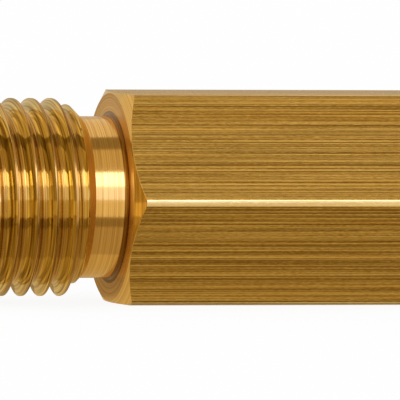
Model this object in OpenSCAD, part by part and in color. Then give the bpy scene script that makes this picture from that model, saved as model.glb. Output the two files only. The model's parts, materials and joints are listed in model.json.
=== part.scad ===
// Reducing adapter in brass: a male pipe thread with a relief neck, a long hexagon for
// the spanner, and a smaller female pipe thread in the hexagon's far end.
// The axis is X. The sealing shoulder of the hexagon is at X = 0, the male side reaches
// towards -X and the hexagon towards +X, and one flat of the hexagon faces down.
// Units are millimetres.

/* [Hexagon] */
// Width across the flats, which is the spanner size
hex_across_flats = 14; // [12:0.5:22]
// Length of the hexagon, from the sealing shoulder to the far end
hex_length = 24; // [18:0.5:40]
// How much is off each sharp corner of the drawn bar, measured towards the axis
corner_blunting = 0.11; // [0.03:0.01:0.4]
// How far the flat turned ring at each end stays inside the flats
ring_margin = 0.1; // [0.05:0.05:0.4]
// Angle of the end chamfers, measured from the end face
hex_chamfer_angle = 30; // [15:1:45]

/* [Male thread, G 1/4] */
// Diameter over the thread crests
male_major_diameter = 13.157; // [12:0.001:21]
// Length from the tip to the sealing shoulder
male_length = 10; // [9:0.5:20]
// Width of the 45 degree chamfer at the tip
tip_chamfer = 1.2; // [0.3:0.02:1.5]

/* [Relief neck] */
// Diameter of the plain neck between thread and shoulder
neck_diameter = 10.76; // [8:0.02:11.2]
// Length of the plain neck at its full depth
neck_length = 2.2; // [1:0.05:3]
// Radius that the tool nose leaves where the neck meets the shoulder
neck_fillet = 0.25; // [0.05:0.01:0.4]

/* [Female thread, G 1/8] */
// Diameter over the thread crests, which is the plain hole before tapping
female_minor_diameter = 8.566; // [7:0.001:9.5]
// Width of the 45 degree countersink at the mouth
mouth_chamfer = 0.72; // [0.2:0.02:1]
// Depth of the hole from the far end to where its wall stops
female_depth = 13; // [8:0.5:15]
// Included angle of the cone that the drill leaves at the bottom
drill_point_angle = 118; // [90:1:140]

/* [Through bore] */
// Diameter of the bore that joins the two sides
bore_diameter = 5.5; // [3:0.1:6.5]
// Width of the 45 degree chamfer where the bore opens at the tip
bore_chamfer = 0.3; // [0.1:0.1:0.5]

/* [Hidden] */
$fn = 96;
hex_sides = 6;
// Straight lines that stand in for the quarter round of the neck fillet
fillet_steps = 4;
// How far a hole's shape runs past the face that it opens through
cut_past = 1;
// How far the male side is sunk into the hexagon so that the two are one solid
root_overlap = 1;

male_radius = male_major_diameter / 2;
neck_radius = neck_diameter / 2;
bore_radius = bore_diameter / 2;
female_radius = female_minor_diameter / 2;
mouth_radius = female_radius + mouth_chamfer;
half_hex_angle = 180 / hex_sides;
sharp_corner_diameter = hex_across_flats / cos(half_hex_angle);
corner_radius = sharp_corner_diameter / 2 - corner_blunting;
ring_radius = hex_across_flats / 2 - ring_margin;
// How far the end chamfer runs along the axis up to the blunted corners
hex_chamfer_run = (corner_radius - ring_radius) * tan(hex_chamfer_angle);
male_tip_x = -male_length;
// The thread ends in a 45 degree wall that drops to the neck
thread_end_x = -neck_length - (male_radius - neck_radius);
female_floor_x = hex_length - female_depth;
drill_cone_run = (female_radius - bore_radius) / tan(drill_point_angle / 2);

// A solid turned about the X axis from an outline of [x, radius] points
module turned(outline) {
    rotate([0, 90, 0]) rotate_extrude() polygon([for (point = outline) [point[1], point[0]]]);
}

// Thread blank and neck. The thread is a plain cylinder over its crests.
module male_side() {
    fillet = [for (i = [0 : fillet_steps])
        let (angle = 90 * i / fillet_steps)
        [-neck_fillet * (1 - sin(angle)), neck_radius + neck_fillet * (1 - cos(angle))]];
    turned(concat(
        [[male_tip_x, 0],
         [male_tip_x, male_radius - tip_chamfer],
         [male_tip_x + tip_chamfer, male_radius],
         [thread_end_x, male_radius],
         [-neck_length, neck_radius]],
        fillet,
        [[root_overlap, neck_radius + neck_fillet],
         [root_overlap, 0]]));
}

// Drawn hexagon bar with blunted corners, chamfered by turning at both ends
module hexagon() {
    intersection() {
        rotate([half_hex_angle, 0, 0]) rotate([0, 90, 0])
            cylinder(d = sharp_corner_diameter, h = hex_length, $fn = hex_sides);
        turned([[0, 0],
                [0, ring_radius],
                [hex_chamfer_run, corner_radius],
                [hex_length - hex_chamfer_run, corner_radius],
                [hex_length, ring_radius],
                [hex_length, 0]]);
    }
}

// Through bore with its chamfer at the tip
module through_bore() {
    turned([[male_tip_x - cut_past, 0],
            [male_tip_x - cut_past, bore_radius + bore_chamfer + cut_past],
            [male_tip_x + bore_chamfer, bore_radius],
            [female_floor_x, bore_radius],
            [female_floor_x, 0]]);
}

// Hole for the female thread: the drill's cone, the plain wall and the countersink
module female_hole() {
    turned([[female_floor_x - drill_cone_run, 0],
            [female_floor_x - drill_cone_run, bore_radius],
            [female_floor_x, female_radius],
            [hex_length - mouth_chamfer, female_radius],
            [hex_length + cut_past, mouth_radius + cut_past],
            [hex_length + cut_past, 0]]);
}

module adapter_body() {
    color("goldenrod")
    difference() {
        union() {
            male_side();
            hexagon();
        }
        through_bore();
        female_hole();
    }
}

adapter_body();
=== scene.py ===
import json
import math

import bmesh
import bpy
from bpy.props import FloatProperty, FloatVectorProperty, PointerProperty
from mathutils import Matrix, Vector


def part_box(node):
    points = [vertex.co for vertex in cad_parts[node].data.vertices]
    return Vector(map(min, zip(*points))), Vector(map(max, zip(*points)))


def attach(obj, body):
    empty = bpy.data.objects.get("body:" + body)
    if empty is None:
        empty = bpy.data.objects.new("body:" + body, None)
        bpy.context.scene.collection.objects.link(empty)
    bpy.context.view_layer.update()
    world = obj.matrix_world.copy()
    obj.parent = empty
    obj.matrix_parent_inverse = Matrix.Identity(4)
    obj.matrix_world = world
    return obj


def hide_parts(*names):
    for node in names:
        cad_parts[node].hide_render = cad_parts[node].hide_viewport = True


bl_info = {
    "name": "Brass reducing adapter",
    "version": (1, 0, 0),
    "blender": (4, 5, 0),
    "location": "3D Viewport > Sidebar > Adapter",
    "description": "Builds a turned brass reducing adapter with its two pipe threads, and a small studio",
    "category": "Object",
}

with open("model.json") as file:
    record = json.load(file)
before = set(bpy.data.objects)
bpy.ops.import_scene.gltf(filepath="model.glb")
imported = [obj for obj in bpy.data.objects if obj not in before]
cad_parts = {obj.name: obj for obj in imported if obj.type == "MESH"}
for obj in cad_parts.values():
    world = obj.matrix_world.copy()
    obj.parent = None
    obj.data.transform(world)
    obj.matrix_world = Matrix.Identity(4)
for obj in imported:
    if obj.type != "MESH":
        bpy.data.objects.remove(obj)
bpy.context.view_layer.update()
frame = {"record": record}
CAD_NODE = "adapter_body"
BODY = "root"

MM = 0.001
INCH = 25.4 * MM
TAU = 2 * math.pi
MOUNTS = {mount["name"]: mount for mount in frame["record"]["mounts"]}
BOX_LOW, BOX_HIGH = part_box(CAD_NODE)


def mount_radius(name):
    return MOUNTS[name]["dims"]["r_mm"] * MM


def linear(hex_colour):
    """The linear red, green and blue of an sRGB hex colour."""
    parts = [int(hex_colour[i:i + 2], 16) / 255 for i in (0, 2, 4)]
    return tuple(c / 12.92 if c <= 0.04045 else ((c + 0.055) / 1.055) ** 2.4 for c in parts)


def length(name, description, metres):
    return FloatProperty(name=name, description=description, default=metres, min=0, unit="LENGTH",
                         subtype="DISTANCE", precision=5)


def turn(name, description, degrees):
    return FloatProperty(name=name, description=description, default=math.radians(degrees),
                         subtype="ANGLE", unit="ROTATION")


def colour(name, description, hex_colour):
    return FloatVectorProperty(name=name, description=description, default=linear(hex_colour),
                               min=0, max=1, size=3, subtype="COLOR")


# ---------------------------------------------------------------- sizes and colours

class AdapterBodySizes(bpy.types.PropertyGroup):
    """Sizes of the hexagon, the neck and the bore"""
    across_flats: length("Across flats", "Spanner size of the hexagon", BOX_HIGH.z - BOX_LOW.z)
    hex_length: length("Hexagon length", "From the sealing shoulder to the far end", BOX_HIGH.x)
    corner_radius: length("Corner radius", "Distance from the axis to the blunted corners", BOX_HIGH.y)
    corner_crown: length("Corner crown", "How far a blunted corner falls off to its sides", 0.007 * MM)
    ring_margin: length("Ring margin", "How far the turned ring stays inside the flats", 0.1 * MM)
    chamfer_angle: turn("Chamfer angle", "Angle of the hexagon's end chamfers from the end face", 30)
    male_length: length("Male length", "From the tip to the sealing shoulder", -BOX_LOW.x)
    tip_chamfer: length("Tip chamfer", "Width of the 45 degree chamfer at the tip", 1.2 * MM)
    neck_radius: length("Neck radius", "Radius of the relief neck", 5.38 * MM)
    neck_length: length("Neck length", "Length of the relief neck at full depth", 2.2 * MM)
    neck_fillet: length("Neck fillet", "Radius where the neck meets the shoulder", 0.25 * MM)
    # Painted shade: the shoulder's fillet and a ring this wide beyond it are darkened, for the shade in the
    # corner between neck and shoulder.
    stain_width: length("Stain width", "How far the painted shade reaches out from the fillet", 0.1 * MM)
    bore_radius: length("Bore radius", "Radius of the through bore", mount_radius("through_bore"))
    bore_chamfer: length("Bore chamfer", "Chamfer where the bore opens at the tip", 0.3 * MM)
    female_depth: length("Female depth", "Depth of the tapped hole's plain wall", 13 * MM)
    mouth_chamfer: length("Mouth chamfer", "Width of the countersink at the mouth", 0.72 * MM)
    drill_angle: turn("Drill point angle", "Included angle of the cone at the bottom of the tapped hole", 118)
    edge_softness: length("Edge softness", "Radius of the lightly broken edges", 0.035 * MM)


class AdapterThreadSizes(bpy.types.PropertyGroup):
    """Sizes of the two parallel pipe threads"""
    flank_angle: turn("Flank angle", "Angle between a flank and the plane across the axis", 27.5)
    male_pitch: length("Male pitch", "Pitch of the male thread, 19 turns an inch", INCH / 19)
    male_major: length("Male crest radius", "Radius over the male crests", mount_radius("male_thread"))
    male_minor: length("Male root radius", "Radius in the male roots", 11.445 / 2 * MM)
    male_crest_flat: length("Male crest flat", "Width of the flat that turning left on the crests", 0.17 * MM)
    male_softness: length("Male softness", "Blend between crest and flank", 0.03 * MM)
    male_root_softness: length("Male root softness", "Blend between flank and root", 0.16 * MM)
    male_crest_x: FloatProperty(name="Male crest place", default=-5.4 * MM, unit="LENGTH", subtype="DISTANCE",
                                description="Place along the axis of a male crest on the upper side")
    burr_height: length("Burr height", "Height of the burr that the die leaves on a crest's edge", 0.012 * MM)
    burr_width: length("Burr width", "Width of that burr", 0.045 * MM)
    female_pitch: length("Female pitch", "Pitch of the female thread, 28 turns an inch", INCH / 28)
    female_major: length("Female root radius", "Radius in the female roots", 9.728 / 2 * MM)
    female_minor: length("Female crest radius", "Radius over the female crests",
                         mount_radius("female_thread"))
    female_crest_flat: length("Female crest flat", "Width of the flat on the female crests", 0.11 * MM)
    female_softness: length("Female softness", "Blend between crest and flank inside", 0.02 * MM)
    female_root_softness: length("Female root softness", "Blend between flank and root inside", 0.1 * MM)
    female_run_out: length("Female run-out", "Length over which the tap's last turns fade", INCH / 14)


class AdapterColours(bpy.types.PropertyGroup):
    """Colours of the brass where each process left it, and of the painted highlight on the bar's front and
    back corners and the painted shade at the shoulder's corner
    """
    drawn: colour("Drawn bar", "Drawn bar surface between its streaks", "D0A74E")
    drawn_dark: colour("Drawn bar, dark", "Dull streaks of the drawn bar", "86682E")
    drawn_light: colour("Drawn bar, light", "Bright streaks of the drawn bar", "FFE593")
    # Painted highlight: the two colours below make the bar's front and back corners paler, for the light they
    # catch.
    rubbed: colour("Highlit corner", "Corners of the bar, rubbed bright", "F3E4B0")
    rubbed_dark: colour("Highlit corner, dark", "Dull lines of the rubbed corners", "D6B877")
    faced: colour("Faced brass", "Turned end faces", "EBC26C")
    faced_dark: colour("Faced brass, dark", "Dull marks of the facing tool", "C39950")
    chamfered: colour("Chamfered brass", "Cut chamfers of the hexagon", "FFDC8C")
    chamfered_dark: colour("Chamfered brass, dark", "Dull marks of the chamfering tool", "E0B86C")
    wall: colour("End wall brass", "End wall of the male thread", "FFE47C")
    wall_dark: colour("End wall brass, dark", "Tool marks on the end wall", "E6BE62")
    # Painted shade: the two colours below darken the corner between neck and shoulder.
    stained: colour("Painted shade", "Corner at the shoulder, darkened as painted shade", "9A6C2A")
    stained_dark: colour("Painted shade, dark", "Darkest of the painted shade", "74501E")
    turned: colour("Turned brass", "Finely turned neck", "F7D183")
    turned_dark: colour("Turned brass, dark", "Dull marks of the turning tool", "D6AC64")
    turned_torn: colour("Turned brass, torn", "Dark rings where the turning tool dragged", "C0944B")
    blank: colour("Turned blank", "Crests of the male thread, left from the turned blank", "DDB36C")
    blank_dark: colour("Turned blank, dark", "Dull marks on the crests", "8F6830")
    cut: colour("Cut brass", "Die-cut and tapped threads", "FFE79C")
    cut_dark: colour("Cut brass, dark", "Duller streaks of the cut threads", "A48642")
    root: colour("Thread root", "Roots of the male thread", "D9B260")
    root_dark: colour("Thread root, dark", "Dull streaks in the roots", "A47C39")
    torn: colour("Torn brass", "Dark tears that the cutting edges leave", "705624")
    bored: colour("Bored brass", "Drilled and bored walls", "D2B16C")
    bored_dark: colour("Bored brass, dark", "Dull rings of the drill", "A6884E")
    floor: colour("Floor", "Pale floor", "F4F4F4")


class AdapterStageSizes(bpy.types.PropertyGroup):
    """The camera's place"""
    azimuth: turn("Azimuth", "Camera's angle round the part, from the front", -14.4)
    elevation: turn("Elevation", "Camera's angle above the level", 3)
    lens: FloatProperty(name="Lens", description="Focal length in millimetres", default=1000, min=1)
    view_width: length("View width", "Width of the view at the part", 26.68 * MM)
    aim_x: length("Aim", "Point of the axis at the picture's middle", 6.25 * MM)
    aim_drop: length("Aim drop", "How far the picture's middle is below the axis", 0.2 * MM)


# ---------------------------------------------------------------- rows round the axis

HEX_SIDES = 6
HALF_SIDE = math.pi / HEX_SIDES
# Rows from a corner of the hexagon to the middle of a flat, in degrees, close together where
# the blunted corner turns into the flat.
HALF_SECTOR = (0, 0.6, 1.1, 1.45, 1.9, 3, 5, 7.5, 10, 12.5, 15, 17.5, 20, 22.5, 25, 27.5, 30)
# The row at which the blunted corner ends
CORNER_ROW = 3
CORNER_EDGE = math.radians(HALF_SECTOR[CORNER_ROW])
ANGLE_SLACK = math.radians(0.01)


def row_angles():
    """Angles of all rows round the axis, from straight up towards the front. Straight up is the
    middle of a flat, so the rows start there."""
    half, sector = HALF_SECTOR[-1], 360 / HEX_SIDES
    offsets = [half - a for a in reversed(HALF_SECTOR)] + [half + a for a in HALF_SECTOR[1:-1]]
    return [math.radians(sector * side + a) for side in range(HEX_SIDES) for a in offsets]


def hex_radius(sizes, angle):
    """Distance from the axis to the hexagon at an angle: the nearer of the flat and the blunted,
    slightly crowned corner, with the edge between them rounded."""
    from_flat = (angle + HALF_SIDE) % (2 * HALF_SIDE) - HALF_SIDE
    flat = sizes.across_flats / 2 / math.cos(from_flat)
    off_corner = sizes.corner_radius * math.sin(HALF_SIDE - abs(from_flat))
    sharp = sizes.across_flats / 2 / math.cos(HALF_SIDE)
    blunt_half = (sharp - sizes.corner_radius) / math.tan(HALF_SIDE)
    corner = sizes.corner_radius - sizes.corner_crown * min(off_corner / blunt_half, 1) ** 2
    blend = max(sizes.edge_softness - abs(flat - corner), 0)
    return min(flat, corner) - blend ** 2 / (4 * sizes.edge_softness)


def side_finish(angle):
    """The finish of the strip that starts at a row: a painted highlight, pale and glossy, on the front and
    the back corner, and else as drawn."""
    from_corner = angle % math.pi - math.pi / 2
    return "rubbed" if -CORNER_EDGE < from_corner + ANGLE_SLACK < CORNER_EDGE else "drawn"


def point_on(x, radius, angle):
    return (x, -radius * math.sin(angle), radius * math.cos(angle))


# ---------------------------------------------------------------- outlines

ARC_STEPS = 3
FILLET_STEPS = 6
# Share of a line next to a corner that the corner's rounding may take, and its support point
ROUNDING_SHARE, SUPPORT_SHARE = 0.3, 0.15


def soften(outline, radius):
    """Rounds each inner corner of an outline of (x, radius, finish) points, where finish is that of
    the line that follows, and puts a support point just past each end of the rounding."""
    soft = [outline[0]]
    for before, corner, after in zip(outline, outline[1:], outline[2:]):
        here = Vector(corner[:2])
        back, ahead = Vector(before[:2]) - here, Vector(after[:2]) - here
        shortest = min(back.length, ahead.length)
        reach = min(radius * math.tan((math.pi - back.angle(ahead)) / 2), ROUNDING_SHARE * shortest)
        support = reach + min(radius, SUPPORT_SHARE * shortest)
        first, last = here + back.normalized() * reach, here + ahead.normalized() * reach
        soft.append((*(here + back.normalized() * support), before[2]))
        for i in range(ARC_STEPS + 1):
            share = i / ARC_STEPS
            arc = first * (1 - share) ** 2 + here * 2 * share * (1 - share) + last * share ** 2
            soft.append((*arc, before[2] if share < 0.5 else corner[2]))
        soft.append((*(here + ahead.normalized() * support), corner[2]))
    return soft + [outline[-1]]


def neck_outline(sizes):
    """From the end of the thread's wall along the neck and round its fillet to the shoulder."""
    fillet = sizes.neck_fillet
    points = [(-sizes.neck_length, sizes.neck_radius, "turned"),
              (-sizes.neck_length + fillet, sizes.neck_radius, "turned")]
    # The fillet carries the painted shade of the corner between neck and shoulder.
    for i in range(FILLET_STEPS + 1):
        bend = math.pi / 2 * i / FILLET_STEPS
        x = -fillet * (1 - math.sin(bend))
        radius = sizes.neck_radius + fillet * (1 - math.cos(bend))
        points.append((x, radius, "stained"))
    return points


def outside_outline(sizes, angle):
    """From the end of the thread's wall along the neck, the shoulder and the hexagon to the mouth."""
    ring = sizes.across_flats / 2 - sizes.ring_margin
    edge = hex_radius(sizes, angle)
    run = (edge - ring) * math.tan(sizes.chamfer_angle)
    far = sizes.hex_length
    neck = neck_outline(sizes)
    # The painted shade of the shoulder's corner runs on this far onto the shoulder.
    painted_shade_end = (0, neck[-1][1] + sizes.stain_width, "faced")
    hexagon = [painted_shade_end, (0, ring, "chamfered"), (run, edge, side_finish(angle)),
               (far - run, edge, "chamfered"), (far, ring, "faced"), (far, mouth_radius(sizes), "faced")]
    return neck + soften(hexagon, sizes.edge_softness)


def mouth_radius(sizes):
    return mount_radius("female_thread") + sizes.mouth_chamfer


def tapped_start(sizes):
    """Where the tapped wall starts, just clear of the drill's cone."""
    return sizes.hex_length - sizes.female_depth + sizes.bore_chamfer


def inside_outline(sizes, wall_radius):
    """From the plain wall below the female thread through the bore to the tip's chamfer."""
    floor_x = sizes.hex_length - sizes.female_depth
    cone = (wall_radius - sizes.bore_radius) / math.tan(sizes.drill_angle / 2)
    tip = -sizes.male_length
    return soften([
        (tapped_start(sizes), wall_radius, "bored"),
        (floor_x, wall_radius, "bored"),
        (floor_x - cone, sizes.bore_radius, "bored"),
        (tip + sizes.bore_chamfer, sizes.bore_radius, "faced"),
        (tip, sizes.bore_radius + sizes.bore_chamfer, "faced"),
        (tip, mount_radius("male_thread") - sizes.tip_chamfer, "faced")], sizes.edge_softness)


def new_object(name, points, faces):
    mesh = bpy.data.meshes.new(name)
    mesh.from_pydata(points, [], faces)
    piece = bpy.data.objects.new(name, mesh)
    bpy.context.collection.objects.link(piece)
    return piece


def skin(name, outlines, angles):
    """A mesh whose rows are the outlines at the angles, closed round the axis."""
    count = len(outlines[0])
    points = [point_on(x, radius, angle) for outline, angle in zip(outlines, angles)
              for x, radius, _ in outline]
    faces, finishes = [], []
    for row, outline in enumerate(outlines):
        after = (row + 1) % len(outlines)
        for column in range(count - 1):
            faces.append((row * count + column, row * count + column + 1,
                          after * count + column + 1, after * count + column))
            finishes.append(FINISHES.index(outline[column][2]))
    piece = new_object(name, points, faces)
    piece.data.polygons.foreach_set("material_index", finishes)
    return piece


# ---------------------------------------------------------------- nodes

MATH, VECTOR_MATH = "ShaderNodeMath", "ShaderNodeVectorMath"
SEPARATE, COMBINE = "ShaderNodeSeparateXYZ", "ShaderNodeCombineXYZ"
MAP_RANGE, NOISE, MIX = "ShaderNodeMapRange", "ShaderNodeTexNoise", "ShaderNodeMix"


def add_node(tree, kind, settings, inputs):
    """Adds a node, sets its properties, and fills its inputs with values or with other nodes'
    outputs. Returns its outputs."""
    node = tree.nodes.new(kind)
    for name, value in settings.items():
        setattr(node, name, value)
    for name, value in inputs.items():
        if isinstance(value, bpy.types.NodeSocket):
            tree.links.new(value, node.inputs[name])
        else:
            node.inputs[name].default_value = value
    return node.outputs


# ---------------------------------------------------------------- threads

# Points closer than this are one point
WELD = 0.0003 * MM
# How often the burr comes and goes round the part, and how finely
BURR_WAVES = 14.0
BURR_DETAIL = 3
# Lines of the sheet over half a pitch: at the crest's middle and edge, then evenly down to the root
EDGE_GAP_SHARE = 0.018
MALE_FLANK_LINES = 9
FEMALE_FLANK_LINES = 3
# Attributes of a thread's points, which its material reads: the distance from the nearest crest
# along the axis, and the turns travelled along the thread
OFF_CREST, TRAVELLED = "off_crest", "travelled"
THREAD_INPUTS = ("Pitch", "Crest", "Root", "Flank angle", "Crest flat", "Softness", "Root softness",
                 "Crest place", "Start", "End", "Start limit", "End limit", "Run-out", "Burr height",
                 "Burr width")
# Turns that the sheet has before and after the thread, because each row round the part is shifted
# along it by a share of the pitch
TURNS_BEFORE, TURNS_AFTER = 2, 1


def thread_tree():
    """Rolls a flat sheet into a screw thread. The sheet's X is the distance from a crest along the
    axis and its Y the angle round it. Heights are radii, and negative ones for a thread that faces
    inwards, so a higher point is always further out of the metal. 45 degree cones clip both ends."""
    tree = bpy.data.node_groups.new("Screw thread", "GeometryNodeTree")
    tree.interface.new_socket("Sheet", in_out="INPUT", socket_type="NodeSocketGeometry")
    for name in THREAD_INPUTS:
        tree.interface.new_socket(name, in_out="INPUT", socket_type="NodeSocketFloat")
    tree.interface.new_socket("Finish", in_out="INPUT", socket_type="NodeSocketMaterial")
    tree.interface.new_socket("Thread", in_out="OUTPUT", socket_type="NodeSocketGeometry")
    given = add_node(tree, "NodeGroupInput", {}, {})

    place = add_node(tree, "GeometryNodeInputPosition", {}, {})[0]
    flat = add_node(tree, SEPARATE, {}, {0: place})
    angle = flat["Y"]
    advance_share = add_node(tree, MATH, {"operation": "DIVIDE"}, {0: angle, 1: TAU})[0]
    crest_here = add_node(tree, MATH, {"operation": "MULTIPLY_ADD"},
                          {0: given["Pitch"], 1: advance_share, 2: given["Crest place"]})[0]
    wanted = add_node(tree, MATH, {"operation": "ADD"}, {0: flat["X"], 1: crest_here})[0]
    along = add_node(tree, "ShaderNodeClamp", {},
                     {"Value": wanted, "Min": given["Start"], "Max": given["End"]})[0]

    # Signed and plain distance from the nearest crest, along the axis
    from_first = add_node(tree, MATH, {"operation": "SUBTRACT"}, {0: along, 1: crest_here})[0]
    half_pitch = add_node(tree, MATH, {"operation": "MULTIPLY"}, {0: given["Pitch"], 1: 0.5})[0]
    minus_half = add_node(tree, MATH, {"operation": "MULTIPLY"}, {0: given["Pitch"], 1: -0.5})[0]
    signed = add_node(tree, MATH, {"operation": "WRAP"}, {0: from_first, 1: half_pitch, 2: minus_half})[0]
    off_crest = add_node(tree, MATH, {"operation": "ABSOLUTE"}, {0: signed})[0]

    # Crest flat, straight flank and root, blended into each other
    half_flat = add_node(tree, MATH, {"operation": "MULTIPLY"}, {0: given["Crest flat"], 1: 0.5})[0]
    on_flank = add_node(tree, MATH, {"operation": "SUBTRACT"}, {0: off_crest, 1: half_flat})[0]
    slope = add_node(tree, MATH, {"operation": "TANGENT"}, {0: given["Flank angle"]})[0]
    drop = add_node(tree, MATH, {"operation": "DIVIDE"}, {0: on_flank, 1: slope})[0]
    flank = add_node(tree, MATH, {"operation": "SUBTRACT"}, {0: given["Crest"], 1: drop})[0]
    crested = add_node(tree, MATH, {"operation": "SMOOTH_MIN"},
                       {0: given["Crest"], 1: flank, 2: given["Softness"]})[0]
    rooted = add_node(tree, MATH, {"operation": "SMOOTH_MAX"},
                      {0: given["Root"], 1: crested, 2: given["Root softness"]})[0]

    # The burr stands on the crest's edge towards -X and comes and goes round the part
    sine = add_node(tree, MATH, {"operation": "SINE"}, {0: angle})[0]
    cosine = add_node(tree, MATH, {"operation": "COSINE"}, {0: angle})[0]
    front = add_node(tree, MATH, {"operation": "MULTIPLY"}, {0: sine, 1: -1})[0]
    outwards = add_node(tree, COMBINE, {}, {"Y": front, "Z": cosine})[0]
    turns = add_node(tree, MATH, {"operation": "DIVIDE"}, {0: from_first, 1: given["Pitch"]})[0]
    whole_turns = add_node(tree, MATH, {"operation": "ROUND"}, {0: turns})[0]
    # Counts on smoothly round the part, so the burr has no seam
    travelled = add_node(tree, MATH, {"operation": "ADD"}, {0: whole_turns, 1: advance_share})[0]
    wander = add_node(tree, NOISE, {"noise_dimensions": "4D"},
                      {"Vector": outwards, "W": travelled, "Scale": BURR_WAVES, "Detail": BURR_DETAIL})["Fac"]
    off_edge = add_node(tree, MATH, {"operation": "ADD"}, {0: signed, 1: half_flat})[0]
    edge_gap = add_node(tree, MATH, {"operation": "ABSOLUTE"}, {0: off_edge})[0]
    burr_shape = add_node(tree, MAP_RANGE, {},
                          {"Value": edge_gap, "From Min": given["Burr width"], "From Max": 0,
                           "To Min": 0, "To Max": given["Burr height"]})[0]
    burred = add_node(tree, MATH, {"operation": "MULTIPLY_ADD"}, {0: burr_shape, 1: wander, 2: rooted})[0]

    # A tap's first turns fade in, and cones clip both ends
    from_start = add_node(tree, MATH, {"operation": "SUBTRACT"}, {0: along, 1: given["Start"]})[0]
    to_end = add_node(tree, MATH, {"operation": "SUBTRACT"}, {0: given["End"], 1: along})[0]
    faded = add_node(tree, MAP_RANGE, {},
                     {"Value": from_start, "From Min": 0, "From Max": given["Run-out"],
                      "To Min": given["Crest"], "To Max": burred})[0]
    start_cone = add_node(tree, MATH, {"operation": "ADD"}, {0: given["Start limit"], 1: from_start})[0]
    end_cone = add_node(tree, MATH, {"operation": "ADD"}, {0: given["End limit"], 1: to_end})[0]
    clipped = add_node(tree, MATH, {"operation": "MINIMUM"}, {0: faded, 1: start_cone})[0]
    height = add_node(tree, MATH, {"operation": "MINIMUM"}, {0: clipped, 1: end_cone})[0]
    radius = add_node(tree, MATH, {"operation": "ABSOLUTE"}, {0: height})[0]

    on_axis = add_node(tree, COMBINE, {}, {"X": along})[0]
    rolled = add_node(tree, VECTOR_MATH, {"operation": "MULTIPLY_ADD"},
                      {0: outwards, 1: radius, 2: on_axis})[0]
    marked = given["Sheet"]
    for name, value in ((OFF_CREST, off_crest), (TRAVELLED, travelled)):
        marked = add_node(tree, "GeometryNodeStoreNamedAttribute", {"data_type": "FLOAT", "domain": "POINT"},
                          {"Geometry": marked, "Name": name, "Value": value})[0]
    bent = add_node(tree, "GeometryNodeSetPosition", {}, {"Geometry": marked, "Position": rolled})[0]
    closed = add_node(tree, "GeometryNodeMergeByDistance", {}, {"Geometry": bent, "Distance": WELD})[0]
    real = add_node(tree, "GeometryNodeRealizeInstances", {}, {"Geometry": closed})[0]
    done = add_node(tree, "GeometryNodeSetMaterial", {}, {"Geometry": real, "Material": given["Finish"]})[0]
    add_node(tree, "NodeGroupOutput", {}, {"Thread": done})
    return tree


def line_shares(edge, gap, flank_lines):
    """Places of the sheet's lines within one pitch, as shares of it from -1/2 to 1/2."""
    start = edge + gap
    half = [edge - gap, edge, start]
    half += [start + (0.5 - start) * (i + 1) / flank_lines for i in range(flank_lines)]
    return [-share for share in reversed(half[:-1])] + [0] + half


def thread_sheet(name, start, end, pitch, crest_place, shares, angles):
    """A flat sheet with the same lines on every turn, long enough for all rows."""
    first = math.floor((start - crest_place) / pitch) - TURNS_BEFORE
    last = math.ceil((end - crest_place) / pitch) + TURNS_AFTER
    places = [pitch * (turn_number + share) for turn_number in range(first, last + 1) for share in shares]
    turned = list(angles) + [TAU + angles[0]]
    points = [(place, angle, 0) for angle in turned for place in places]
    count = len(places)
    faces = [(row * count + i, row * count + i + 1, (row + 1) * count + i + 1, (row + 1) * count + i)
             for row in range(len(turned) - 1) for i in range(count - 1)]
    return new_object(name, points, faces)


def roll_thread(sheet, values):
    """Runs the thread's node tree on a sheet and keeps the result as a plain mesh."""
    tree = bpy.data.node_groups.get("Screw thread") or thread_tree()
    modifier = sheet.modifiers.new("Thread", "NODES")
    modifier.node_group = tree
    sockets = {s.name: s.identifier for s in tree.interface.items_tree if s.in_out == "INPUT"}
    for name, value in values.items():
        modifier[sockets[name]] = value
    bpy.context.view_layer.update()
    rolled = bpy.data.meshes.new_from_object(sheet.evaluated_get(bpy.context.evaluated_depsgraph_get()))
    sheet.modifiers.clear()
    sheet.data = rolled


# ---------------------------------------------------------------- materials

# Sockets of a colour Mix node
MIX_FROM, MIX_TO, MIX_RESULT = 6, 7, 2
# A noise stays mostly between these values, so they are what a full change is drawn over
NOISE_LOW, NOISE_HIGH = 0.35, 0.65
# Width and length of the drawn bar's marks. Real die scratches are 0.01 to 0.05 mm wide. They are
# drawn 0.03 mm wide, so that they show.
LONG_SCRATCH, SHORT_SCRATCH = (0.032 * MM, 110 * MM), (0.034 * MM, 9 * MM)
FLECK, BAND = (0.05 * MM, 0.35 * MM), (0.45 * MM, 30 * MM)
SCRATCH_DETAIL, BAND_DETAIL = 1, 2
# Shares at which they are mixed into the long scratches
SHORT_SHARE, FLECK_SHARE, BAND_SHARE = 0.22, 0.15, 0.14
# Spans of the mixed noise over which dark metal turns to plain, and plain metal to a bright line
PLAIN_FROM, PLAIN_TO, BRIGHT_FROM, BRIGHT_TO = 0.45, 0.53, 0.53, 0.59
RING_DETAIL, TEAR_DETAIL = 2, 3
# Tears against rings: how much wider they are, how much oftener they change round the part, and
# the span of the noise over which they come in
TEAR_WIDTH, TEAR_WAVES, TEAR_BLEND = 1.3, 1.2, 0.12
# How much a thread's marks change from one turn to the next
TURN_CHANGE = 1.7


def bare_metal(name):
    """A new metal, with its node tree and its shader's sockets."""
    material = bpy.data.materials.new(name)
    material.use_nodes = True
    sockets = material.node_tree.nodes["Principled BSDF"].inputs
    sockets["Metallic"].default_value = 1
    return material, material.node_tree, sockets


def connect(tree, sockets, values):
    """Links outputs of a tree's nodes into a shader's sockets."""
    for name, source in values.items():
        tree.links.new(source, sockets[name])


def across_axis(tree):
    """A point's place, and the part of it that lies across the axis."""
    place = add_node(tree, "ShaderNodeTexCoord", {}, {})["Object"]
    return place, add_node(tree, VECTOR_MATH, {"operation": "MULTIPLY"}, {0: place, 1: (0, 1, 1)})[0]


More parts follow.
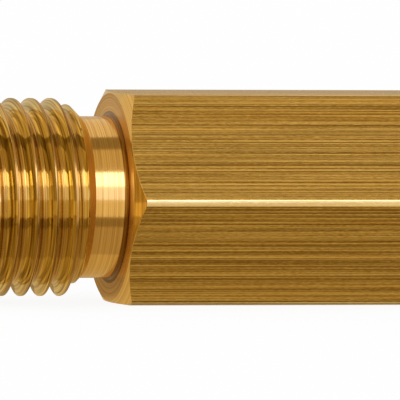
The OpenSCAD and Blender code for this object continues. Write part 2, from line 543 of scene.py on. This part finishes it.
def streaks(tree, width, run, detail):
    """Noise in streaks along the axis, of a width and a length in metres."""
    place = add_node(tree, "ShaderNodeTexCoord", {}, {})["Object"]
    stretched = add_node(tree, VECTOR_MATH, {"operation": "MULTIPLY"},
                         {0: place, 1: (1 / run, 1 / width, 1 / width)})[0]
    return add_node(tree, NOISE, {}, {"Vector": stretched, "Scale": 1, "Detail": detail})["Fac"]


def lathe_counts(tree, spacing):
    """Counts the marks of a lathe tool along the axis and outwards, a spacing in metres apart."""
    place, across = across_axis(tree)
    along = add_node(tree, SEPARATE, {}, {0: place})["X"]
    radius = add_node(tree, VECTOR_MATH, {"operation": "LENGTH"}, {0: across})["Value"]
    return [add_node(tree, MATH, {"operation": "DIVIDE"}, {0: size, 1: spacing})[0]
            for size in (along, radius)]


def thread_counts(tree, spacing):
    """Counts the marks of a die or a tap down a flank, a spacing in metres apart along the axis,
    and counts on along the thread, so that every turn is marked in its own way."""
    off_crest, travelled = [add_node(tree, "ShaderNodeAttribute", {"attribute_name": name}, {})["Fac"]
                            for name in (OFF_CREST, TRAVELLED)]
    return (add_node(tree, MATH, {"operation": "DIVIDE"}, {0: off_crest, 1: spacing})[0],
            add_node(tree, MATH, {"operation": "MULTIPLY"}, {0: travelled, 1: TURN_CHANGE})[0])


def rings(tree, counts, waves, detail):
    """Noise in rings round the axis. It changes where either count grows by one, and along each
    ring as many times as there are waves."""
    outwards = add_node(tree, VECTOR_MATH, {"operation": "NORMALIZE"}, {0: across_axis(tree)[1]})[0]
    first = add_node(tree, COMBINE, {}, {"X": counts[0]})[0]
    vector = add_node(tree, VECTOR_MATH, {"operation": "MULTIPLY_ADD"},
                      {0: outwards, 1: (waves, waves, waves), 2: first})[0]
    return add_node(tree, NOISE, {"noise_dimensions": "4D"},
                    {"Vector": vector, "W": counts[1], "Scale": 1, "Detail": detail})["Fac"]


def streaky_brass(name, dark, middle, light, dull, glossy, depth):
    """Brass bar that a drawing die dragged lengthwise. Roughness runs from dull to glossy streaks."""
    material, tree, sockets = bare_metal(name)
    long_scratches = streaks(tree, *LONG_SCRATCH, SCRATCH_DETAIL)
    short_scratches = streaks(tree, *SHORT_SCRATCH, SCRATCH_DETAIL)
    flecks = streaks(tree, *FLECK, SCRATCH_DETAIL)
    bands = streaks(tree, *BAND, BAND_DETAIL)
    lined = add_node(tree, MIX, {}, {"Factor": SHORT_SHARE, "A": long_scratches, "B": short_scratches})[0]
    scratches = add_node(tree, MIX, {}, {"Factor": FLECK_SHARE, "A": lined, "B": flecks})[0]
    with_bands = add_node(tree, MIX, {}, {"Factor": BAND_SHARE, "A": scratches, "B": bands})[0]
    tone = add_node(tree, MAP_RANGE, {},
                    {"Value": with_bands, "From Min": PLAIN_FROM, "From Max": PLAIN_TO})[0]
    plain = add_node(tree, MIX, {"data_type": "RGBA"},
                     {0: tone, MIX_FROM: (*dark, 1), MIX_TO: (*middle, 1)})[MIX_RESULT]
    lines = add_node(tree, MAP_RANGE, {},
                     {"Value": scratches, "From Min": BRIGHT_FROM, "From Max": BRIGHT_TO})[0]
    streaky = add_node(tree, MIX, {"data_type": "RGBA"},
                       {0: lines, MIX_FROM: plain, MIX_TO: (*light, 1)})[MIX_RESULT]
    dullness = add_node(tree, MAP_RANGE, {},
                        {"Value": scratches, "From Min": NOISE_LOW, "From Max": NOISE_HIGH,
                         "To Min": dull, "To Max": glossy})[0]
    normal = add_node(tree, "ShaderNodeBump", {}, {"Distance": depth, "Height": scratches})["Normal"]
    connect(tree, sockets, {"Base Color": streaky, "Roughness": dullness, "Normal": normal})
    return material


def drawn_brass(colours):
    """Brass bar, as the drawing die left it. The die drags fine scratches along the whole bar, so it
    looks streaky lengthwise: dull gold with thin bright and dark lines, and a satin sheen."""
    return streaky_brass("drawn_brass", colours.drawn_dark, colours.drawn, colours.drawn_light,
                         dull=0.38, glossy=0.24, depth=0.003 * MM)


def highlit_brass(colours):
    """The bar's blunted front and back corners, with a painted highlight: a pale, glossy line."""
    return streaky_brass("highlit_brass", colours.rubbed_dark, colours.rubbed, colours.rubbed,
                         dull=0.26, glossy=0.16, depth=0.001 * MM)


def ringed_brass(name, counts, light, dark, torn, spacing, depth, glossy, dull, waves, tears):
    """Brass that was cut while it turned. The tool's point leaves rings round the axis, and where the
    metal tore, dark streaks. Tears run from none at 0 to everywhere at 1. Real marks are 0.02 to
    0.2 mm apart, and the finest are drawn 0.06 mm apart, so that they show."""
    material, tree, sockets = bare_metal(name)
    marks = rings(tree, counts(tree, spacing), waves, RING_DETAIL)
    share = add_node(tree, MAP_RANGE, {}, {"Value": marks, "From Min": NOISE_LOW, "From Max": NOISE_HIGH})[0]
    ringed = add_node(tree, MIX, {"data_type": "RGBA"},
                      {0: share, MIX_FROM: (*dark, 1), MIX_TO: (*light, 1)})[MIX_RESULT]
    rips = rings(tree, counts(tree, spacing * TEAR_WIDTH), waves * TEAR_WAVES, TEAR_DETAIL)
    start = NOISE_HIGH - tears * (NOISE_HIGH - NOISE_LOW)
    ripped = add_node(tree, MAP_RANGE, {},
                      {"Value": rips, "From Min": start, "From Max": start + TEAR_BLEND})[0]
    streaky = add_node(tree, MIX, {"data_type": "RGBA"},
                       {0: ripped, MIX_FROM: ringed, MIX_TO: (*torn, 1)})[MIX_RESULT]
    dullness = add_node(tree, MAP_RANGE, {}, {"Value": share, "To Min": dull, "To Max": glossy})[0]
    normal = add_node(tree, "ShaderNodeBump", {}, {"Distance": depth, "Height": marks})["Normal"]
    connect(tree, sockets, {"Base Color": streaky, "Roughness": dullness, "Normal": normal})
    return material


def faced_brass(colours):
    """End faces, turned with a plain feed: visible rings, a soft sheen."""
    return ringed_brass("faced_brass", lathe_counts, colours.faced, colours.faced_dark, colours.faced_dark,
                        spacing=0.11 * MM, depth=0.0015 * MM, glossy=0.28, dull=0.4, waves=0.3, tears=0.2)


def chamfered_brass(colours):
    """The hexagon's end chamfers, cut with a keen tool: smooth enough to mirror the neck in thin
    bright and dark lines."""
    return ringed_brass("chamfered_brass", lathe_counts, colours.chamfered, colours.chamfered_dark,
                        colours.chamfered_dark, spacing=0.08 * MM, depth=0.001 * MM, glossy=0.04,
                        dull=0.12, waves=0.5, tears=0.2)


def end_wall_brass(colours):
    """The 45 degree end of the male thread, left by the corner of the relief tool: clean metal with a
    soft sheen, so the thread runs out into the neck without a hard edge."""
    return ringed_brass("end_wall_brass", lathe_counts, colours.wall, colours.wall_dark, colours.wall_dark,
                        spacing=0.11 * MM, depth=0.001 * MM, glossy=0.3, dull=0.42, waves=0.3, tears=0.2)


def painted_shade_brass(colours):
    """The corner between neck and shoulder, darkened as painted shade: a dark, soft line that sets the neck
    off."""
    return ringed_brass("painted_shade_brass", lathe_counts, colours.stained, colours.stained_dark,
                        colours.stained_dark, spacing=0.12 * MM, depth=0.0015 * MM, glossy=0.2,
                        dull=0.32, waves=0.6, tears=0.3)


def fine_turned_brass(colours):
    """The relief neck, turned with a fine feed: nearly a mirror, with hair-fine rings."""
    return ringed_brass("fine_turned_brass", lathe_counts, colours.turned, colours.turned_dark,
                        colours.turned_torn, spacing=0.08 * MM, depth=0.001 * MM, glossy=0.1,
                        dull=0.18, waves=0.3, tears=0.18)


def turned_blank_brass(colours):
    """The male crests, the only trace of the blank that the die cut into: satin, with dark drag marks."""
    return ringed_brass("turned_blank_brass", lathe_counts, colours.blank, colours.blank_dark, colours.torn,
                        spacing=0.06 * MM, depth=0.001 * MM, glossy=0.18, dull=0.3, waves=0.6, tears=0.3)


def die_cut_brass(colours):
    """Threads as the die and the tap cut them: smooth flanks that mirror each other, with dark torn
    streaks along the thread."""
    return ringed_brass("die_cut_brass", thread_counts, colours.cut, colours.cut_dark, colours.torn,
                        spacing=0.06 * MM, depth=0.0015 * MM, glossy=0.03, dull=0.1, waves=0.7, tears=0.22)


def root_brass(colours):
    """The male roots: darker and duller than the flanks, with more dark tears."""
    return ringed_brass("root_brass", thread_counts, colours.root, colours.root_dark, colours.torn,
                        spacing=0.06 * MM, depth=0.0015 * MM, glossy=0.1, dull=0.2, waves=0.7, tears=0.25)


def bored_brass(colours):
    """Drilled and bored walls: duller, with coarser rings."""
    return ringed_brass("bored_brass", lathe_counts, colours.bored, colours.bored_dark, colours.bored_dark,
                        spacing=0.2 * MM, depth=0.004 * MM, glossy=0.28, dull=0.42, waves=0.3, tears=0.2)


# Two finishes are painted light: the pale one on the bar's front and back corners is a painted highlight, and
# the dark one round the shoulder's fillet is painted shade.
FINISH_MAKERS = {
    "drawn": drawn_brass, "rubbed": highlit_brass, "faced": faced_brass, "turned": fine_turned_brass,
    "blank": turned_blank_brass, "cut": die_cut_brass, "bored": bored_brass, "chamfered": chamfered_brass,
    "stained": painted_shade_brass, "root": root_brass, "wall": end_wall_brass}
FINISHES = tuple(FINISH_MAKERS)


def finishes():
    """The brass finishes in the order of FINISHES, each made once."""
    colours = bpy.context.scene.adapter_colours
    return [bpy.data.materials.get(maker.__name__) or maker(colours) for maker in FINISH_MAKERS.values()]


# ---------------------------------------------------------------- operators

class ADAPTER_OT_turned_body(bpy.types.Operator):
    """Make the skin of the neck, shoulder, hexagon and bore"""
    bl_idname = "adapter.turned_body"
    bl_label = "Turned body"

    def execute(self, context):
        sizes = context.scene.adapter_sizes
        angles = row_angles()
        skin("outside", [outside_outline(sizes, angle) for angle in angles], angles)
        inner = inside_outline(sizes, context.scene.adapter_threads.female_minor)
        skin("inside", [inner for _ in angles], angles)
        return {"FINISHED"}


class ADAPTER_OT_male_thread(bpy.types.Operator):
    """Cut the male thread between the tip and the neck"""
    bl_idname = "adapter.male_thread"
    bl_label = "Male thread"

    def execute(self, context):
        sizes, threads = context.scene.adapter_sizes, context.scene.adapter_threads
        start, end, pitch = -sizes.male_length, -sizes.neck_length, threads.male_pitch
        shares = line_shares(threads.male_crest_flat / 2 / pitch, EDGE_GAP_SHARE, MALE_FLANK_LINES)
        sheet = thread_sheet("male_thread", start, end, pitch, threads.male_crest_x, shares, row_angles())
        roll_thread(sheet, {
            "Pitch": pitch, "Crest": threads.male_major, "Root": threads.male_minor,
            "Flank angle": threads.flank_angle, "Crest flat": threads.male_crest_flat,
            "Softness": threads.male_softness, "Root softness": threads.male_root_softness,
            "Crest place": threads.male_crest_x, "Start": start, "End": end,
            "Start limit": threads.male_major - sizes.tip_chamfer, "End limit": sizes.neck_radius,
            "Run-out": WELD, "Burr height": threads.burr_height, "Burr width": threads.burr_width,
            "Finish": finishes()[FINISHES.index("cut")]})
        return {"FINISHED"}


class ADAPTER_OT_female_thread(bpy.types.Operator):
    """Tap the female thread from the mouth inwards"""
    bl_idname = "adapter.female_thread"
    bl_label = "Female thread"

    def execute(self, context):
        sizes, threads = context.scene.adapter_sizes, context.scene.adapter_threads
        start, end, pitch = tapped_start(sizes), sizes.hex_length, threads.female_pitch
        shares = line_shares(threads.female_crest_flat / 2 / pitch, EDGE_GAP_SHARE, FEMALE_FLANK_LINES)
        sheet = thread_sheet("female_thread", start, end, pitch, start, shares, row_angles())
        roll_thread(sheet, {
            "Pitch": pitch, "Crest": -threads.female_minor, "Root": -threads.female_major,
            "Flank angle": threads.flank_angle, "Crest flat": threads.female_crest_flat,
            "Softness": threads.female_softness, "Root softness": threads.female_root_softness,
            "Crest place": start, "Start": start, "End": end, "Start limit": -threads.female_minor,
            "End limit": -mouth_radius(sizes), "Run-out": threads.female_run_out, "Burr height": 0.0,
            "Burr width": threads.burr_width, "Finish": finishes()[FINISHES.index("cut")]})
        return {"FINISHED"}


SHARP_ANGLE = math.radians(35)
SLIVER = WELD / 10
# How near a face of the male thread lies to its crests, its roots or the cones at its ends to be
# part of them
CREST_SLACK, ROOT_SLACK, CONE_SLACK = 0.02 * MM, 0.05 * MM, 0.01 * MM


def thread_finish(face, sizes, threads):
    """The finish of a face of the male thread. The 45 degree cones at both ends and the crests were
    turned before the die cut the rest."""
    place = face.calc_center_median()
    radius = place.yz.length
    if radius > sizes.neck_radius - sizes.neck_length - place.x - CONE_SLACK:
        return "wall"
    from_tip = sizes.male_length + place.x
    if radius > threads.male_major - sizes.tip_chamfer + from_tip - CONE_SLACK:
        return "turned"
    if radius > threads.male_major - CREST_SLACK:
        return "blank"
    return "root" if radius < threads.male_minor + ROOT_SLACK else "cut"


class ADAPTER_OT_join(bpy.types.Operator):
    """Weld the skins into one closed body that stands for the CAD part"""
    bl_idname = "adapter.join"
    bl_label = "Join body"

    def execute(self, context):
        parts = [bpy.data.objects[name] for name in ("outside", "inside", "male_thread", "female_thread")]
        whole = bmesh.new()
        sizes, threads = context.scene.adapter_sizes, context.scene.adapter_threads
        for part in parts:
            first_face = len(whole.faces)
            whole.from_mesh(part.data)
            whole.faces.ensure_lookup_table()
            for face in whole.faces[first_face:]:
                if part.name == "male_thread":
                    face.material_index = FINISHES.index(thread_finish(face, sizes, threads))
                elif part.name == "female_thread":
                    face.material_index = FINISHES.index("cut")
        bmesh.ops.remove_doubles(whole, verts=whole.verts, dist=WELD)
        bmesh.ops.dissolve_degenerate(whole, dist=SLIVER, edges=whole.edges)
        loose = [edge for edge in whole.edges if len(edge.link_faces) != 2]
        if loose:
            raise RuntimeError(f"{len(loose)} edges of the body don't close, one at {loose[0].verts[0].co}")
        bmesh.ops.recalc_face_normals(whole, faces=whole.faces)
        for face in whole.faces:
            face.smooth = True
        for edge in whole.edges:
            edge.smooth = edge.calc_face_angle(0) < SHARP_ANGLE
        mesh = bpy.data.meshes.new("adapter")
        whole.to_mesh(mesh)
        whole.free()
        for material in finishes():
            mesh.materials.append(material)
        body = bpy.data.objects.new("adapter", mesh)
        context.collection.objects.link(body)
        for part in parts:
            bpy.data.objects.remove(part)
        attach(body, BODY)
        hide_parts(CAD_NODE)
        return {"FINISHED"}


# ---------------------------------------------------------------- studio

# How far the cards reach, in millimetres
FAR = 400
CARD_RADIUS = FAR * MM
CARD_STEPS = 12
# Corners of a board, as which end of its reach they take along its two sides
CORNERS = ((0, 0), (1, 0), (1, 1), (0, 1))
BOARD = [(0, 1, 2, 3)]
# Cards bent round the part's axis: name, lowest and highest angle above the front in degrees,
# colour and brightness. The two bright ones are bluish, because brass takes most of the blue out of
# them, and its highlights are then cream instead of yellow.
ARC_CARDS = (
    ("front_bounce_card", -1, 18, "F3EDFF", 1.45),
    ("front_softbox", 18, 38, "EAE9FF", 3.17),
    ("warm_front_card", 38, 74, "FFE0A9", 0.64),
    ("upper_dark_flag", 74, 97, "FFD998", 0.3),
    ("top_card", 97, 150, "FFEAD0", 0.85),
    ("back_card", 150, 181, "FFEDD0", 0.64),
)
# Cards that lie just above the floor: name, their reach along X and Y in millimetres, colour and
# brightness. The part reflects them, and the camera looks past them at the floor. The dim cards close
# round and under the part are painted shade: they stand for the floor's shade there, as the part
# mirrors it.
FLOOR_CARDS = (
    ("far_front_floor_card", (-FAR, FAR), (-FAR, -17.7), "FFE8BE", 0.86),
    ("front_dark_flag", (-FAR, 2.3), (-17.7, -11.4), "FFD58D", 0.3),
    ("near_hexagon_floor_card", (2.3, FAR), (-17.7, -11.4), "FFE1AD", 0.53),
    ("near_front_floor_card", (-FAR, FAR), (-11.4, -4.2), "FFDB9F", 0.47),
    ("under_thread_card", (-FAR, 0.4), (-4.2, 4.2), "FFE0A6", 0.6),
    ("under_hexagon_card", (0.4, 23.6), (-4.2, 4.2), "FFEFDD", 0.5),
    ("past_mouth_card", (23.6, FAR), (-4.2, 4.2), "FFE0A6", 0.6),
    ("near_back_floor_card", (-FAR, FAR), (4.2, 45), "FFD791", 0.36),
    ("back_dark_flag", (-FAR, FAR), (45, 105), "FFDE9F", 0.2),
    ("far_back_floor_card", (-FAR, FAR), (105, 390), "FFE4BE", 0.68),
)
# Cards across the axis: name, place along X and reach along Y in millimetres, colour and brightness
END_CARDS = (
    ("left_front_card", -200, (-FAR, 0), "FFE0A6", 0.9),
    ("left_flag", -200, (0, 36), "FFDE9F", 0.22),
    ("left_back_card", -200, (36, FAR), "FFE6C2", 0.72),
    ("right_card", 300, (-FAR, FAR), "FFE2B0", 0.55),
)
# The floor cards lie this far above the floor, so little that the part doesn't see the gap
FLOOR_GAP = 0.005 * MM
# How far the floor reaches each way, in metres, and how much of it glows rather than reflects
FLOOR_REACH = 2.0
FLOOR_GLOW_SHARE = 0.92
SENSOR_WIDTH = 36


def card(name, points, faces, hex_colour, brightness):
    """A glowing card that the camera doesn't see and that adds no light to the floor."""
    board = new_object(name, points, faces)
    material = bpy.data.materials.new(name)
    material.use_nodes = True
    tree = material.node_tree
    tree.nodes.clear()
    glow = add_node(tree, "ShaderNodeEmission", {},
                    {"Color": (*linear(hex_colour), 1), "Strength": brightness})[0]
    add_node(tree, "ShaderNodeOutputMaterial", {}, {"Surface": glow})
    board.data.materials.append(material)
    board.visible_camera = False
    board.visible_diffuse = False
    board.visible_shadow = False


def arc_card(name, low, high, hex_colour, brightness):
    points = []
    for i in range(CARD_STEPS + 1):
        angle = math.radians(low + (high - low) * i / CARD_STEPS)
        points += [(x, -CARD_RADIUS * math.cos(angle), CARD_RADIUS * math.sin(angle))
                   for x in (-CARD_RADIUS, CARD_RADIUS)]
    faces = [(2 * i, 2 * i + 1, 2 * i + 3, 2 * i + 2) for i in range(CARD_STEPS)]
    card(name, points, faces, hex_colour, brightness)


def floor_card(name, reach_x, reach_y, hex_colour, brightness, level):
    corners = [(reach_x[i] * MM, reach_y[j] * MM, level) for i, j in CORNERS]
    card(name, corners, BOARD, hex_colour, brightness)


def end_card(name, x, reach_y, hex_colour, brightness, level):
    heights = (level, CARD_RADIUS)
    corners = [(x * MM, reach_y[i] * MM, heights[j]) for i, j in CORNERS]
    card(name, corners, BOARD, hex_colour, brightness)


def painted_floor(colours):
    """Matt pale paint that keeps the part's shadow. Most of it glows white where the camera or a
    reflection sees it, which makes the plain white background."""
    material = bpy.data.materials.new("painted_floor")
    material.use_nodes = True
    tree = material.node_tree
    tree.nodes.clear()
    rays = add_node(tree, "ShaderNodeLightPath", {}, {})
    seen = add_node(tree, MATH, {"operation": "MAXIMUM"},
                    {0: rays["Is Camera Ray"], 1: rays["Is Glossy Ray"]})[0]
    shown = add_node(tree, MATH, {"operation": "MAXIMUM"}, {0: seen, 1: rays["Is Transmission Ray"]})[0]
    share = add_node(tree, MATH, {"operation": "MULTIPLY"}, {0: shown, 1: FLOOR_GLOW_SHARE})[0]
    paint = add_node(tree, "ShaderNodeBsdfDiffuse", {}, {"Color": (*colours.floor, 1)})[0]
    glow = add_node(tree, "ShaderNodeEmission", {}, {"Strength": 1})[0]
    mixed = add_node(tree, "ShaderNodeMixShader", {}, {0: share, 1: paint, 2: glow})[0]
    add_node(tree, "ShaderNodeOutputMaterial", {}, {"Surface": mixed})
    return material


def place_camera(scene):
    """A long lens that looks at the part from the front left, with the part's axis level."""
    stage = scene.adapter_stage
    data = bpy.data.cameras.new("camera")
    data.lens = stage.lens
    data.sensor_width = SENSOR_WIDTH
    camera = bpy.data.objects.new("camera", data)
    bpy.context.collection.objects.link(camera)
    azimuth, elevation = stage.azimuth, stage.elevation
    toward = Vector((math.sin(azimuth) * math.cos(elevation), -math.cos(azimuth) * math.cos(elevation),
                     math.sin(elevation)))
    axis = Vector((1, 0, 0))
    right = (axis - toward * axis.dot(toward)).normalized()
    up = toward.cross(right)
    distance = stage.view_width * stage.lens / SENSOR_WIDTH
    aim = Vector((stage.aim_x, 0, 0)) - up * stage.aim_drop
    turned = Matrix((right, up, toward)).transposed().to_4x4()
    camera.matrix_world = Matrix.Translation(aim + toward * distance) @ turned
    scene.camera = camera


class ADAPTER_OT_stage(bpy.types.Operator):
    """Set up the floor, the light cards and the camera"""
    bl_idname = "adapter.stage"
    bl_label = "Stage"

    def execute(self, context):
        scene = context.scene
        level = -scene.adapter_sizes.across_flats / 2
        reach = (-FLOOR_REACH, FLOOR_REACH)
        floor = new_object("floor", [(reach[i], reach[j], level) for i, j in CORNERS], BOARD)
        floor.data.materials.append(painted_floor(scene.adapter_colours))
        world = bpy.data.worlds.new("white_studio")
        world.use_nodes = True
        world.node_tree.nodes["Background"].inputs["Color"].default_value = (1, 1, 1, 1)
        scene.world = world
        for name, low, high, hex_colour, brightness in ARC_CARDS:
            arc_card(name, low, high, hex_colour, brightness)
        for name, reach_x, reach_y, hex_colour, brightness in FLOOR_CARDS:
            floor_card(name, reach_x, reach_y, hex_colour, brightness, level + FLOOR_GAP)
        for name, x, reach_y, hex_colour, brightness in END_CARDS:
            end_card(name, x, reach_y, hex_colour, brightness, level)
        place_camera(scene)
        scene.view_settings.view_transform = "Standard"
        return {"FINISHED"}


class ADAPTER_PT_panel(bpy.types.Panel):
    """Lists the steps that build the adapter and its studio"""
    bl_idname = "ADAPTER_PT_panel"
    bl_label = "Reducing adapter"
    bl_space_type = "VIEW_3D"
    bl_region_type = "UI"
    bl_category = "Adapter"

    def draw(self, context):
        for operator in OPERATORS:
            self.layout.operator(operator.bl_idname)


GROUPS = {"adapter_sizes": AdapterBodySizes, "adapter_threads": AdapterThreadSizes,
          "adapter_colours": AdapterColours, "adapter_stage": AdapterStageSizes}
OPERATORS = (ADAPTER_OT_turned_body, ADAPTER_OT_male_thread, ADAPTER_OT_female_thread, ADAPTER_OT_join,
             ADAPTER_OT_stage)
CLASSES = (*GROUPS.values(), *OPERATORS, ADAPTER_PT_panel)


def register():
    for cls in CLASSES:
        bpy.utils.register_class(cls)
    for name, group in GROUPS.items():
        setattr(bpy.types.Scene, name, PointerProperty(type=group))


def unregister():
    for name in GROUPS:
        delattr(bpy.types.Scene, name)
    for cls in reversed(CLASSES):
        bpy.utils.unregister_class(cls)


def main():
    register()
    bpy.ops.adapter.turned_body()
    bpy.ops.adapter.male_thread()
    bpy.ops.adapter.female_thread()
    bpy.ops.adapter.join()
    bpy.ops.adapter.stage()


if __name__ == "__main__":
    main()
